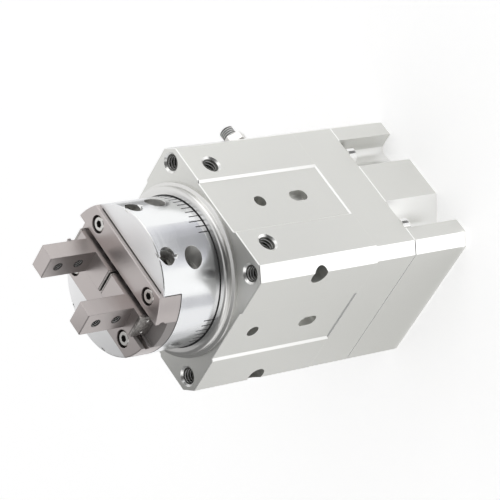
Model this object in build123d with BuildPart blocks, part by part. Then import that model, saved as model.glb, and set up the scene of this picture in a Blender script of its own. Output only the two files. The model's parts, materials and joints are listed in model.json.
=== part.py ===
from build123d import *
import math
import os

# Rotary gripper: an air-driven swivel body with a round two-finger gripper head.
# Millimetres. +Z is the rotation axis, from the rear face (z = 0) towards the fingers.
# +X and -Y are the two long faces with holes; the fingers open along Y.

# Fits
seat_gap = 0.02
running_gap = 0.05
joint_gap = 0.05
bolt_clearance = 0.1
pin_end_gap = 0.1
tap_past_screw = 1.0
past_face = 1.0
edge_break = 0.2

# Square body
body_width = 54.0
corner_chamfer = 3.65
body_front = 84.0
joint_z = 22.0
strip_rise = 0.26
strip_end = 38.0
pocket_depth = 0.66
pocket_width = 20.0
pocket_wall_angle = 45
band_width = body_width - 2 * strip_rise
band_chamfer = corner_chamfer - 2 * strip_rise

# Holes of the body
corner_hole_inset = 4.8
corner_thread_radius = 2.5
corner_hole_depth = 10.0
thread_chamfer = 0.6
port_spacing = 31.4
port_radius = 2.5
port_depth = 8.0
port_from_front = 8.6
pin_radius = 2.0
pin_depth = 5.0
pin_from_front_x = 17.0
pin_from_front_y = 10.4
slot_from_front = 32.0
slot_length = 6.5
slot_depth = 2.2
side_hole_inset = 5.0
side_hole_radius = 2.9
side_hole_from_front = 23.5

# Bores of the body
rear_bore_wall = 4.2
cavity_top = 56.6
web_bore_radius = 13.3
relief_radius = 16.0
relief_height = 3.0
retainer_seat_ledge = 2.5
retainer_seat_depth = 1.0

# Front bearing
bearing_inner_radius = 12.0
bearing_outer_radius = 18.0
bearing_width = 8.0
bearing_ball_radius = 2.0
bearing_ball_count = 9
race_land = 1.9

# Rear bearing
rear_bearing_inner_radius = 4.0
rear_bearing_outer_radius = 8.0
rear_bearing_width = 5.0
rear_ball_radius = 1.15
rear_ball_count = 7
rear_race_land = 1.5
rear_bearing_bottom = 17.0
rear_relief_radius = 5.5
rear_relief_depth = 1.0

# Rear cover
boss_width = 14.8
groove_depth = 6.74
groove_floor_width = 5.3
rail_width = 8.24
groove_fillet = 2.4
foot_height = 1.6
foot_setback = 1.54
cover_spigot = 2.0
cover_bolt_inset = 3.84
cover_bolt_from_rail = 3.5
cover_bolt_radius = 1.5
cover_bolt_head_radius = 2.75
cover_bolt_head_height = 3.0
cover_bolt_reach = 10.0
cover_bolt_socket = 2.5
cover_bolt_socket_depth = 1.5
ring_section = 1.1
ring_from_joint = 0.4

# Vane chamber
chamber_radius = 17.0
chamber_height = 22.5
chamber_wall = 4.3
shoe_offset = 3.2
shaft_radius = 6.0
journal_radius = 4.0
journal_end_length = 0.5
drum_end_gap = 0.3
neck_radius = 5.0
neck_depth = 6.8
neck_end_gap = 0.2
shaft_seal_radius = 9.0
shaft_seal_height = 2.2
vane_thickness = 5.0
vane_rim = 1.6
vane_end_gap = 0.1
shoe_seal_width = 2.4
shoe_seal_height = 3.8

# Stop
lug_thickness = 4.8
lug_hub_radius = 15.0
lug_end_gap = 0.5
lug_width = 6.0
lug_floor_gap = 0.6
spigot_past_lug = 0.1
spacer_gap = 0.4
stop_contact_gap = 0.1
stop_screw_from_lug_end = 2.3
stop_screw_radius = 2.0
stop_screw_proud = 6.9
stop_screw_socket = 2.0
stop_screw_socket_depth = 2.0
stop_screw_chamfer = 0.4
nut_across_flats = 7.0
nut_thickness = 2.6

# Bearing retainer ring round the head
retainer_flange_reach = 0.9
retainer_flange = 0.9
retainer_wall = 2.7
retainer_rise = 3.3
retainer_shoulder = 1.2
retainer_step_drop = 0.5
retainer_web = 0.25
retainer_inner_radius = 16.3

# Gripper head
head_radius = 22.2
head_gap = 0.2
head_bottom_gap = 0.25
head_front = 108.1
head_shoulder_radius = 14.0
guide_seat_depth = 6.4
piston_bore_radius = 8.0
piston_bore_bottom = 62.0
lever_room_bottom = 88.0
lever_room_width = 7.2
lever_room_end_gap = 0.64

# Levers, their pins and the cross pin
lever_pivot_y = 10.76
lever_pivot_z = 95.9
lever_arm = 11.0
lever_thickness = 2.35
lever_side_gap = 0.25
lever_hub_radius = 3.6
lever_tip_radius = 1.6
lever_neck_width = 2.2
lever_pin_radius = 2.0
lever_pin_length = 30.0
pin_access_radius = 3.0
cross_pin_radius = 1.5
fork_half_width = 3.0
fork_end = 2.2
fork_slot_past_pin = 0.2
fork_root_inset = 0.2
lever_root_inset = 0.8

# Finger guide and its screws
guide_width = 25.4
guide_proud = 1.5
channel_width = 10.0
channel_depth = 4.4
guide_screw_from_side = 3.7
guide_screw_inset = 8.1
guide_screw_radius = 1.25
guide_screw_head_radius = 2.25
guide_screw_head_height = 2.5
guide_screw_reach = 3.5
guide_screw_socket = 2.0
guide_screw_socket_depth = 1.2
guide_screw_chamfer = 0.3
counterbore_radius = 2.7
counterbore_depth = 2.9
floor_slot_inner = 6.4
floor_slot_outer = 14.9
floor_slot_width = 7.0
set_screw_y = 9.5
set_screw_drop = 3.2
set_screw_radius = 2.5
set_screw_length = 4.5
set_screw_socket = 2.5
set_screw_socket_depth = 2.2
set_screw_chamfer = 0.6

# Fingers and their balls
finger_stroke = 3.0
finger_width = 8.0
finger_inner_end = 0.9
finger_end_inset = 5.6
finger_rise = 2.0
finger_floor_gap = 0.35
tab_inner = 8.2
tab_outer = 13.6
tab_height = 15.9
tab_hole_radius = 1.5
tab_hole_from_tip = 4.2
tab_hole_spacing = 7.2
notch_side_gap = 0.15
notch_top_gap = 0.3
end_plate_thickness = 0.9
inner_plate_thickness = 0.65
plate_break = 0.15
ball_radius = 1.2
ball_line_x = 4.45
ball_drop = 2.4
ball_first = 4.2
ball_spacing = 4.3
balls_per_row = 3

# Piston
piston_bottom = 64.0
piston_length = 12.0
rod_radius = 3.0
rod_cover_bottom = 83.0
rod_seal_radius = 4.6
rod_seal_height = 1.8
clevis_width = 10.4
clevis_depth = 6.0
clevis_gap = 6.8
clevis_top_wall = 1.3
clevis_floor = 3.9
clevis_base = 1.0
magnet_bottom = 2.0
magnet_height = 3.0
magnet_inner_radius = 5.6
piston_seal_bottom = 7.5
piston_seal_height = 2.0
piston_seal_inner_radius = 6.4

# Places worked out from the dimensions above
half_body = body_width / 2
half_band = band_width / 2
corner_spacing = body_width - 2 * corner_hole_inset
side_hole_spacing = body_width - 2 * side_hole_inset
rear_bore_radius = half_body - rear_bore_wall
groove_floor = half_band - groove_depth
groove_outer = half_band - rail_width
groove_slope_end = groove_outer - groove_floor_width
groove_slope = (groove_slope_end - boss_width / 2) / groove_depth
foot_edge = half_band - foot_setback
cover_bolt_x = half_band - cover_bolt_inset
cover_bolt_y = groove_outer - cover_bolt_from_rail
retainer_seat_radius = bearing_outer_radius + retainer_seat_ledge
retainer_step_radius = head_radius + retainer_wall
retainer_radius = retainer_step_radius + retainer_flange_reach
lug_reach = rear_bore_radius - lug_end_gap
stop_screw_x = lug_reach - stop_screw_from_lug_end
lever_room_length = 2 * (lever_pivot_y + lever_hub_radius + lever_room_end_gap)
finger_outer_end = head_radius - finger_end_inset
guide_screw_y = head_radius - guide_screw_inset
guide_screw_x = guide_width / 2 - guide_screw_from_side
bearing_top = body_front - retainer_seat_depth
bearing_bottom = bearing_top - bearing_width
chamber_floor = joint_z + cover_spigot
chamber_roof = chamber_floor + chamber_height
sleeve_top = chamber_roof + chamber_wall
lug_bottom = sleeve_top + lug_floor_gap
lug_top = lug_bottom + lug_thickness
stop_z = (lug_bottom + lug_top) / 2
stop_tip_y = lug_width / 2 + stop_contact_gap
spigot_bottom = lug_bottom - spigot_past_lug
head_bottom = body_front + retainer_web + head_bottom_gap
guide_bottom = head_front - guide_seat_depth
guide_front = head_front + guide_proud
channel_floor = guide_front - channel_depth
ball_z = guide_front - ball_drop
finger_bottom = channel_floor + finger_floor_gap
base_front = guide_front + finger_rise
finger_tip = base_front + tab_height
set_screw_z = head_front - set_screw_drop
set_screw_mouth = math.sqrt(head_radius**2 - set_screw_y**2) - set_screw_chamfer
lever_swing = math.degrees(math.asin(finger_stroke / 2 / lever_arm))
piston_stroke = 2 * lever_pivot_y * math.sin(math.radians(lever_swing))
cross_pin_z = lever_pivot_z - piston_stroke / 2
lever_tip_z = lever_pivot_z + lever_arm
notch_y = lever_pivot_y - finger_stroke / 2
clevis_top = cross_pin_z + cross_pin_radius + clevis_top_wall
clevis_bottom = cross_pin_z - clevis_floor - clevis_base
piston_top = piston_bottom + piston_length
spigot_radius = bearing_inner_radius - seat_gap

parts = {}


def face_plane(direction, distance, height):
    """Plane on one side face, looking outwards, with its local y along +Z."""
    across = {"+X": (0, 1, 0), "-X": (0, -1, 0), "+Y": (-1, 0, 0), "-Y": (1, 0, 0)}[direction]
    outward = {"+X": (1, 0, 0), "-X": (-1, 0, 0), "+Y": (0, 1, 0), "-Y": (0, -1, 0)}[direction]
    origin = (outward[0] * distance, outward[1] * distance, height)
    return Plane(origin=origin, x_dir=across, z_dir=outward)


def keep(builder, name):
    """Label a finished piece and remember it for the export."""
    builder.part.label = name
    parts[name] = builder.part


# Front body: square block, raised strips with shallow pockets, and its stepped bore
with BuildPart() as front_body:
    with BuildSketch(Plane.XY.offset(joint_z)) as band_outline:
        Rectangle(band_width, band_width)
        chamfer(band_outline.vertices(), band_chamfer)
    extrude(amount=strip_end - joint_z)
    chamfer(front_body.faces().sort_by(Axis.Z)[0].edges(), edge_break)
    with BuildSketch(Plane.XY.offset(strip_end)) as strip_outline:
        Rectangle(body_width, body_width)
        chamfer(strip_outline.vertices(), corner_chamfer)
        with PolarLocations(half_body - pocket_depth / 2, 4):
            Trapezoid(
                pocket_width + pocket_depth, pocket_depth, pocket_wall_angle,
                rotation=90, mode=Mode.SUBTRACT,
            )
    extrude(amount=body_front - strip_end)
    with BuildSketch(Plane.XZ):
        with BuildLine():
            Polyline(
                (0, joint_z),
                (rear_bore_radius, joint_z),
                (rear_bore_radius, cavity_top),
                (web_bore_radius, cavity_top),
                (web_bore_radius, bearing_bottom - relief_height),
                (relief_radius, bearing_bottom - relief_height),
                (relief_radius, bearing_bottom),
                (bearing_outer_radius, bearing_bottom),
                (bearing_outer_radius, bearing_top),
                (retainer_seat_radius, bearing_top),
                (retainer_seat_radius, body_front),
                (0, body_front),
                close=True,
            )
        make_face()
    revolve(axis=Axis.Z, mode=Mode.SUBTRACT)
    front_rim = front_body.faces().sort_by(Axis.Z)[-1].outer_wire()
    chamfer(front_rim.edges(), edge_break)
    with Locations(Plane.XY.offset(body_front)):
        with GridLocations(corner_spacing, corner_spacing, 2, 2):
            CounterSinkHole(corner_thread_radius, corner_thread_radius + thread_chamfer, corner_hole_depth, 90)
    with Locations(face_plane("+X", half_body, body_front - port_from_front)):
        with GridLocations(port_spacing, 0, 2, 1):
            CounterSinkHole(port_radius, port_radius + thread_chamfer, port_depth, 90)
    with Locations(face_plane("-Y", half_body, body_front - side_hole_from_front)):
        with GridLocations(side_hole_spacing, 0, 2, 1):
            Hole(side_hole_radius, body_width)
    with Locations(face_plane("+Y", half_body, stop_z)):
        with GridLocations(2 * stop_screw_x, 0, 2, 1):
            Hole(stop_screw_radius + running_gap, half_body - lug_width / 2)
    for side, pin_drop in (("+X", pin_from_front_x), ("-X", pin_from_front_x), ("-Y", pin_from_front_y)):
        with Locations(face_plane(side, half_body - pocket_depth, body_front - pin_drop)):
            Hole(pin_radius, pin_depth)
        with BuildSketch(face_plane(side, half_body - pocket_depth, body_front - slot_from_front)):
            SlotOverall(slot_length, 2 * pin_radius, rotation=90)
        extrude(amount=-slot_depth, mode=Mode.SUBTRACT)
    with Locations(Plane.XY.offset(joint_z)):
        for x in (-cover_bolt_x, cover_bolt_x):
            for y in (-cover_bolt_y, cover_bolt_y):
                with Locations(Pos(x, y, 0) * Rot(180, 0, 0)):
                    Hole(cover_bolt_radius, cover_bolt_reach + tap_past_screw)
keep(front_body, "front_body")

# Rear cover: block with two wide grooves along each X face, a spigot and the rear bearing pocket
with BuildPart() as rear_cover:
    with BuildSketch() as cover_outline:
        Rectangle(band_width, band_width)
        chamfer(cover_outline.vertices(), band_chamfer)
    extrude(amount=joint_z)
    chamfer(rear_cover.faces().filter_by(Axis.Z).edges(), edge_break)
    with BuildSketch(Plane.XY.offset(joint_z)):
        Circle(rear_bore_radius - joint_gap)
    extrude(amount=cover_spigot)
    with BuildSketch() as groove_outline:
        with BuildLine():
            Polyline(
                (half_band + past_face, boss_width / 2 - past_face * groove_slope),
                (groove_floor, groove_slope_end),
                (groove_floor, groove_outer),
                (half_band + past_face, groove_outer),
                close=True,
            )
        make_face()
        inner_corners = groove_outline.vertices().sort_by(Axis.X)[:2]
        fillet(inner_corners, groove_fillet)
        mirror(about=Plane.XZ)
        mirror(about=Plane.YZ)
    extrude(amount=joint_z - foot_height, mode=Mode.SUBTRACT)
    with BuildSketch():
        add(groove_outline.sketch)
        Rectangle(2 * foot_edge, body_width, mode=Mode.SUBTRACT)
    extrude(amount=joint_z, mode=Mode.SUBTRACT)
    with Locations(Plane.XY.offset(joint_z)):
        with GridLocations(2 * cover_bolt_x, 2 * cover_bolt_y, 2, 2):
            Hole(cover_bolt_radius + bolt_clearance, foot_height + past_face)
    with BuildSketch(Plane.XZ):
        with BuildLine():
            Polyline(
                (0, rear_bearing_bottom - rear_relief_depth),
                (rear_relief_radius, rear_bearing_bottom - rear_relief_depth),
                (rear_relief_radius, rear_bearing_bottom),
                (rear_bearing_outer_radius, rear_bearing_bottom),
                (rear_bearing_outer_radius, chamber_floor),
                (0, chamber_floor),
                close=True,
            )
        make_face()
    revolve(axis=Axis.Z, mode=Mode.SUBTRACT)
    with BuildSketch(Plane.XY.offset(joint_z + ring_from_joint)):
        Circle(rear_bore_radius)
        Circle(rear_bore_radius - joint_gap - ring_section, mode=Mode.SUBTRACT)
    extrude(amount=ring_section, mode=Mode.SUBTRACT)
keep(rear_cover, "rear_cover")

# Sealing ring in the groove of the cover's spigot
with BuildPart() as cover_ring:
    with BuildSketch(Plane.XY.offset(joint_z + ring_from_joint + seat_gap)):
        Circle(rear_bore_radius - seat_gap)
        Circle(rear_bore_radius - ring_section, mode=Mode.SUBTRACT)
    extrude(amount=ring_section - 2 * seat_gap)
keep(cover_ring, "cover_seal")

# Four socket head bolts, their heads lying in the cover's grooves
with BuildPart() as cover_bolts:
    bolt_seat = joint_z - foot_height
    with BuildSketch(Plane.XY.offset(bolt_seat - cover_bolt_head_height)):
        with GridLocations(2 * cover_bolt_x, 2 * cover_bolt_y, 2, 2):
            Circle(cover_bolt_head_radius)
            RegularPolygon(cover_bolt_socket / 2, 6, major_radius=False, mode=Mode.SUBTRACT)
    extrude(amount=cover_bolt_socket_depth)
    with BuildSketch(Plane.XY.offset(bolt_seat - cover_bolt_head_height + cover_bolt_socket_depth)):
        with GridLocations(2 * cover_bolt_x, 2 * cover_bolt_y, 2, 2):
            Circle(cover_bolt_head_radius)
    extrude(amount=cover_bolt_head_height - cover_bolt_socket_depth - seat_gap)
    with BuildSketch(Plane.XY.offset(bolt_seat - seat_gap)):
        with GridLocations(2 * cover_bolt_x, 2 * cover_bolt_y, 2, 2):
            Circle(cover_bolt_radius - seat_gap)
    extrude(amount=foot_height + cover_bolt_reach)
keep(cover_bolts, "cover_bolts")

# Vane chamber: sleeve with the fixed shoe that fills the +Y half and a wall round the shaft
with BuildPart() as chamber:
    with BuildSketch(Plane.XY.offset(chamber_floor + seat_gap)):
        Circle(rear_bore_radius - seat_gap)
    extrude(amount=sleeve_top - chamber_floor - seat_gap)
    with BuildSketch(Plane.XY.offset(chamber_floor + seat_gap)) as vane_room:
        Circle(chamber_radius)
        with Locations((0, shoe_offset + chamber_radius / 2)):
            Rectangle(2 * chamber_radius, chamber_radius, mode=Mode.SUBTRACT)
        Circle(shaft_radius + running_gap)
    extrude(amount=chamber_height, mode=Mode.SUBTRACT)
    with Locations(Plane.XY.offset(sleeve_top)):
        CounterBoreHole(shaft_radius + running_gap, shaft_seal_radius, shaft_seal_height, chamber_wall + past_face)
    with BuildSketch(Plane.XY.offset(chamber_floor)):
        with Locations((0, shaft_radius + shoe_seal_height / 2)):
            Rectangle(shoe_seal_width, shoe_seal_height)
    extrude(amount=chamber_height, mode=Mode.SUBTRACT)
keep(chamber, "vane_chamber")

# Seal strip in the shoe, against the shaft
with BuildPart() as shoe_strip:
    with BuildSketch(Plane.XY.offset(chamber_floor + vane_end_gap)):
        with Locations((0, shaft_radius + shoe_seal_height / 2)):
            Rectangle(shoe_seal_width - 2 * seat_gap, shoe_seal_height - 2 * seat_gap)
        Circle(shaft_radius + running_gap, mode=Mode.SUBTRACT)
    extrude(amount=chamber_height - 2 * vane_end_gap)
keep(shoe_strip, "shoe_seal")

# Shaft seal above the chamber, and the one below it in the cover
with BuildPart() as shaft_seal:
    with BuildSketch(Plane.XY.offset(sleeve_top - shaft_seal_height + seat_gap)):
        Circle(shaft_seal_radius - seat_gap)
        Circle(shaft_radius + running_gap, mode=Mode.SUBTRACT)
    extrude(amount=shaft_seal_height - 2 * seat_gap)
keep(shaft_seal, "shaft_seal")

with BuildPart() as rear_shaft_seal:
    with BuildSketch(Plane.XY.offset(rear_bearing_bottom + rear_bearing_width + seat_gap)):
        Circle(rear_bearing_outer_radius - seat_gap)
        Circle(shaft_radius + running_gap, mode=Mode.SUBTRACT)
    extrude(amount=chamber_floor - rear_bearing_bottom - rear_bearing_width - 2 * seat_gap)
keep(rear_shaft_seal, "rear_shaft_seal")

# Vane shaft: rear journal, drum through the chamber, and the neck pressed into the head
with BuildPart() as vane_shaft:
    drum_bottom = rear_bearing_bottom + rear_bearing_width + drum_end_gap
    with BuildSketch(Plane.XZ):
        with BuildLine():
            Polyline(
                (0, rear_bearing_bottom - journal_end_length),
                (journal_radius - seat_gap, rear_bearing_bottom - journal_end_length),
                (journal_radius - seat_gap, drum_bottom),
                (shaft_radius, drum_bottom),
                (shaft_radius, spigot_bottom - seat_gap),
                (neck_radius, spigot_bottom - seat_gap),
                (neck_radius, spigot_bottom + neck_depth),
                (0, spigot_bottom + neck_depth),
                close=True,
            )
        make_face()
    revolve(axis=Axis.Z)
keep(vane_shaft, "vane_shaft")

# Vane: the metal core, and the rubber rim that seals it against chamber, floor and roof
vane_bottom = chamber_floor + vane_end_gap
vane_top = chamber_roof - vane_end_gap
with BuildPart() as vane:
    with BuildSketch(Plane.XY.offset(vane_bottom + vane_rim + seat_gap)):
        with Locations((-chamber_radius / 2, 0)):
            Rectangle(chamber_radius, vane_thickness)
        Circle(shaft_radius + seat_gap, mode=Mode.SUBTRACT)
        Circle(chamber_radius - vane_end_gap - vane_rim - seat_gap, mode=Mode.INTERSECT)
    extrude(amount=vane_top - vane_bottom - 2 * vane_rim - 2 * seat_gap)
keep(vane, "vane")

with BuildPart() as vane_seal:
    with BuildSketch(Plane.XY.offset(vane_bottom)):
        with Locations((-chamber_radius / 2, 0)):
            Rectangle(chamber_radius, vane_thickness)
        Circle(shaft_radius + seat_gap, mode=Mode.SUBTRACT)
        Circle(chamber_radius - vane_end_gap, mode=Mode.INTERSECT)
    extrude(amount=vane_top - vane_bottom)
    with BuildSketch(Plane.XY.offset(vane_bottom + vane_rim)):
        Circle(chamber_radius - vane_end_gap - vane_rim)
    extrude(amount=vane_top - vane_bottom - 2 * vane_rim, mode=Mode.SUBTRACT)
keep(vane_seal, "vane_seal")

# Stop ring on the head's spigot, with the lug that meets the two stop screws
with BuildPart() as stop_lug:
    with BuildSketch(Plane.XY.offset(lug_bottom)):
        with Locations((-lug_reach / 2, 0)):
            Rectangle(lug_reach, lug_width)
        Circle(lug_hub_radius)
        Circle(lug_reach, mode=Mode.INTERSECT)
        Circle(bearing_inner_radius, mode=Mode.SUBTRACT)
    extrude(amount=lug_thickness)
keep(stop_lug, "stop_lug")

# Spacer between the stop ring and the inner race
with BuildPart() as spacer:
    with BuildSketch(Plane.XY.offset(lug_top + seat_gap)):
        Circle(web_bore_radius - spacer_gap)
        Circle(bearing_inner_radius, mode=Mode.SUBTRACT)
    extrude(amount=bearing_bottom - lug_top - 2 * seat_gap)
keep(spacer, "bearing_spacer")

# Front bearing: two grooved races with balls between them
ball_circle = (bearing_inner_radius + bearing_outer_radius) / 2
ball_track_z = (bearing_bottom + bearing_top) / 2
with BuildPart() as front_inner_race:
    with BuildSketch(Plane.XZ):
        with Locations((bearing_inner_radius + race_land / 2, ball_track_z)):
            Rectangle(race_land, bearing_width)
        with Locations((ball_circle, ball_track_z)):
            Circle(bearing_ball_radius + running_gap, mode=Mode.SUBTRACT)
    revolve(axis=Axis.Z)
keep(front_inner_race, "front_bearing_inner_race")

with BuildPart() as front_outer_race:
    with BuildSketch(Plane.XZ):
        with Locations((bearing_outer_radius - seat_gap - race_land / 2, ball_track_z)):
            Rectangle(race_land, bearing_width)
        with Locations((ball_circle, ball_track_z)):
            Circle(bearing_ball_radius + running_gap, mode=Mode.SUBTRACT)
    revolve(axis=Axis.Z)
keep(front_outer_race, "front_bearing_outer_race")

with BuildPart() as front_balls:
    with Locations(Plane.XY.offset(ball_track_z)):
        with PolarLocations(ball_circle, bearing_ball_count):
            Sphere(bearing_ball_radius)
keep(front_balls, "front_bearing_balls")

# Rear bearing, the same way, in the cover
rear_ball_circle = (rear_bearing_inner_radius + rear_bearing_outer_radius) / 2
rear_track_z = rear_bearing_bottom + rear_bearing_width / 2
with BuildPart() as rear_inner_race:
    with BuildSketch(Plane.XZ):
        with Locations((rear_bearing_inner_radius + rear_race_land / 2, rear_track_z)):
            Rectangle(rear_race_land, rear_bearing_width)
        with Locations((rear_ball_circle, rear_track_z)):
            Circle(rear_ball_radius + running_gap, mode=Mode.SUBTRACT)
    revolve(axis=Axis.Z)
keep(rear_inner_race, "rear_bearing_inner_race")

with BuildPart() as rear_outer_race:
    with BuildSketch(Plane.XZ):
        with Locations((rear_bearing_outer_radius - seat_gap - rear_race_land / 2, rear_track_z)):
            Rectangle(rear_race_land, rear_bearing_width)
        with Locations((rear_ball_circle, rear_track_z)):
            Circle(rear_ball_radius + running_gap, mode=Mode.SUBTRACT)
    revolve(axis=Axis.Z)
keep(rear_outer_race, "rear_bearing_outer_race")

with BuildPart() as rear_balls:
    with Locations(Plane.XY.offset(rear_track_z)):
        with PolarLocations(rear_ball_circle, rear_ball_count):
            Sphere(rear_ball_radius)
keep(rear_balls, "rear_bearing_balls")

# Retainer ring: screwed into the body's front, it holds the outer race and frames the head
with BuildPart() as retainer:
    head_opening = head_radius + head_gap
    crown = body_front + retainer_rise
    with BuildSketch(Plane.XZ):
        with BuildLine():
            rim = Polyline(
                (retainer_step_radius - retainer_shoulder, crown),
                (head_opening, crown),
                (head_opening, body_front + retainer_web),
                (retainer_inner_radius, body_front + retainer_web),
                (retainer_inner_radius, bearing_top + joint_gap),
                (retainer_seat_radius - seat_gap, bearing_top + joint_gap),
                (retainer_seat_radius - seat_gap, body_front),
                (retainer_radius, body_front),
                (retainer_radius, body_front + retainer_flange),
                (retainer_step_radius, body_front + retainer_flange + retainer_step_drop),
                (retainer_step_radius, crown - retainer_shoulder),
            )
            RadiusArc(rim @ 1, rim @ 0, -retainer_shoulder)
        make_face()
    revolve(axis=Axis.Z)
keep(retainer, "bearing_retainer")

# Stop screws in the +Y face, one for each end of the turn, and their lock nuts
for name, x in (("stop_screw_a", -stop_screw_x), ("stop_screw_b", stop_screw_x)):
    with BuildPart() as stop_screw:
        with BuildSketch(Plane(origin=(x, stop_tip_y, stop_z), x_dir=(1, 0, 0), z_dir=(0, 1, 0))):
            Circle(stop_screw_radius)
        extrude(amount=half_body + stop_screw_proud - stop_tip_y)
        chamfer(stop_screw.faces().sort_by(Axis.Y)[-1].edges(), stop_screw_chamfer)
        chamfer(stop_screw.faces().sort_by(Axis.Y)[0].edges(), stop_screw_chamfer)
        with BuildSketch(stop_screw.faces().sort_by(Axis.Y)[-1]):
            RegularPolygon(stop_screw_socket / 2, 6, major_radius=False)
        extrude(amount=-stop_screw_socket_depth, mode=Mode.SUBTRACT)
    keep(stop_screw, name)

with BuildPart() as lock_nuts:
    with BuildSketch(face_plane("+Y", half_body + seat_gap, stop_z)):
        with GridLocations(2 * stop_screw_x, 0, 2, 1):
            RegularPolygon(nut_across_flats / 2, 6, major_radius=False)
            Circle(stop_screw_radius + running_gap, mode=Mode.SUBTRACT)
    extrude(amount=nut_thickness)
keep(lock_nuts, "lock_nuts")

# Gripper body: round head, shoulder and spigot in one, hollowed for piston and levers
with BuildPart() as gripper_body:
    with BuildSketch(Plane.XZ):
        with BuildLine():
            Polyline(
                (0, spigot_bottom),
                (spigot_radius, spigot_bottom),
                (spigot_radius, bearing_top + seat_gap),
                (head_shoulder_radius, bearing_top + seat_gap),
                (head_shoulder_radius, head_bottom),
                (head_radius, head_bottom),
                (head_radius, head_front),
                (0, head_front),
                close=True,
            )
        make_face()
    revolve(axis=Axis.Z)
    chamfer(gripper_body.faces().sort_by(Axis.Z)[-1].edges(), edge_break)
    with BuildSketch(Plane.XY.offset(guide_bottom)):
        Rectangle(guide_width, 2 * (head_radius + past_face))
    extrude(amount=guide_seat_depth, mode=Mode.SUBTRACT)
    with BuildSketch(Plane.XY.offset(piston_bore_bottom)):
        Circle(piston_bore_radius)
    extrude(amount=guide_bottom - piston_bore_bottom, mode=Mode.SUBTRACT)
    with BuildSketch(Plane.XY.offset(lever_room_bottom)):
        Rectangle(lever_room_width, lever_room_length)
    extrude(amount=guide_bottom - lever_room_bottom, mode=Mode.SUBTRACT)
    with BuildSketch(Plane.XY.offset(spigot_bottom)):
        Circle(neck_radius + seat_gap)
    extrude(amount=neck_depth + neck_end_gap, mode=Mode.SUBTRACT)
    with BuildSketch(Plane.YZ.offset(-head_radius)):
        with Locations((-lever_pivot_y, lever_pivot_z), (lever_pivot_y, lever_pivot_z)):
            Circle(lever_pin_radius + seat_gap)
    extrude(amount=2 * head_radius, mode=Mode.SUBTRACT)
    for side in ("+X", "-X"):
        with BuildSketch(face_plane(side, lever_pin_length / 2 + pin_end_gap, lever_pivot_z)):
            with Locations((-lever_pivot_y, 0), (lever_pivot_y, 0)):
                Circle(pin_access_radius)
        extrude(amount=head_radius, mode=Mode.SUBTRACT)
        with BuildSketch(face_plane(side, guide_width / 2 - running_gap, set_screw_z)):
            with Locations((-set_screw_y, 0), (set_screw_y, 0)):
                Circle(set_screw_radius)
        extrude(amount=head_radius, mode=Mode.SUBTRACT)
        with BuildSketch(face_plane(side, set_screw_mouth, set_screw_z)):
            with Locations((-set_screw_y, 0), (set_screw_y, 0)):
                Circle(set_screw_radius + set_screw_chamfer)
        extrude(amount=set_screw_chamfer, taper=-45, mode=Mode.SUBTRACT)
    with Locations(Plane.XY.offset(guide_bottom)):
        with GridLocations(2 * guide_screw_x, 2 * guide_screw_y, 2, 2):
            Hole(guide_screw_radius, guide_screw_reach + tap_past_screw)
keep(gripper_body, "gripper_body")

# Finger guide: hard rail block across the head, with a ball channel and lever slots
with BuildPart() as guide:
    with BuildSketch(Plane.XY.offset(guide_bottom + seat_gap)):
        Circle(head_radius)
        Rectangle(guide_width - 2 * seat_gap, 2 * head_radius, mode=Mode.INTERSECT)
    extrude(amount=guide_front - guide_bottom - seat_gap)
    chamfer(guide.faces().sort_by(Axis.Z)[-1].edges(), edge_break)
    with BuildSketch(Plane.XZ.offset(-head_radius)):
        with Locations((0, channel_floor + channel_depth / 2)):
            Rectangle(channel_width, channel_depth)
        with Locations((-ball_line_x, ball_z), (ball_line_x, ball_z)):
            Circle(ball_radius + running_gap)
    extrude(amount=2 * head_radius, mode=Mode.SUBTRACT)
    floor_slot_middle = (floor_slot_inner + floor_slot_outer) / 2
    with BuildSketch(Plane.XY.offset(guide_bottom)):
        with Locations((0, -floor_slot_middle), (0, floor_slot_middle)):
            Rectangle(floor_slot_width, floor_slot_outer - floor_slot_inner)
    extrude(amount=channel_floor - guide_bottom, mode=Mode.SUBTRACT)
    with Locations(Plane.XY.offset(guide_front)):
        with GridLocations(2 * guide_screw_x, 2 * guide_screw_y, 2, 2):
            CounterBoreHole(guide_screw_radius + bolt_clearance, counterbore_radius, counterbore_depth)
keep(guide, "finger_guide")

# Four socket head screws that hold the guide
with BuildPart() as guide_screws:
    screw_seat = guide_front - counterbore_depth + seat_gap
    with BuildSketch(Plane.XY.offset(guide_bottom - guide_screw_reach)):
        with GridLocations(2 * guide_screw_x, 2 * guide_screw_y, 2, 2):
            Circle(guide_screw_radius - seat_gap)
    extrude(amount=screw_seat - guide_bottom + guide_screw_reach)
    with BuildSketch(Plane.XY.offset(screw_seat)):
        with GridLocations(2 * guide_screw_x, 2 * guide_screw_y, 2, 2):
            Circle(guide_screw_head_radius)
    extrude(amount=guide_screw_head_height)
    chamfer(guide_screws.faces().group_by(Axis.Z)[-1].edges(), guide_screw_chamfer)
    with BuildSketch(Plane.XY.offset(screw_seat + guide_screw_head_height)):
        with GridLocations(2 * guide_screw_x, 2 * guide_screw_y, 2, 2):
            RegularPolygon(guide_screw_socket / 2, 6, major_radius=False)
    extrude(amount=-guide_screw_socket_depth, mode=Mode.SUBTRACT)
keep(guide_screws, "guide_screws")

# Four set screws that bear on the flanks of the guide
with BuildPart() as set_screws:
    for side in ("+X", "-X"):
        with BuildSketch(face_plane(side, guide_width / 2, set_screw_z)):
            with Locations((-set_screw_y, 0), (set_screw_y, 0)):
                Circle(set_screw_radius - seat_gap)
        extrude(amount=set_screw_length)
        with BuildSketch(face_plane(side, guide_width / 2 + set_screw_length, set_screw_z)):
            with Locations((-set_screw_y, 0), (set_screw_y, 0)):
                RegularPolygon(set_screw_socket / 2, 6, major_radius=False)
        extrude(amount=-set_screw_socket_depth, mode=Mode.SUBTRACT)
keep(set_screws, "guide_set_screws")

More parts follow.
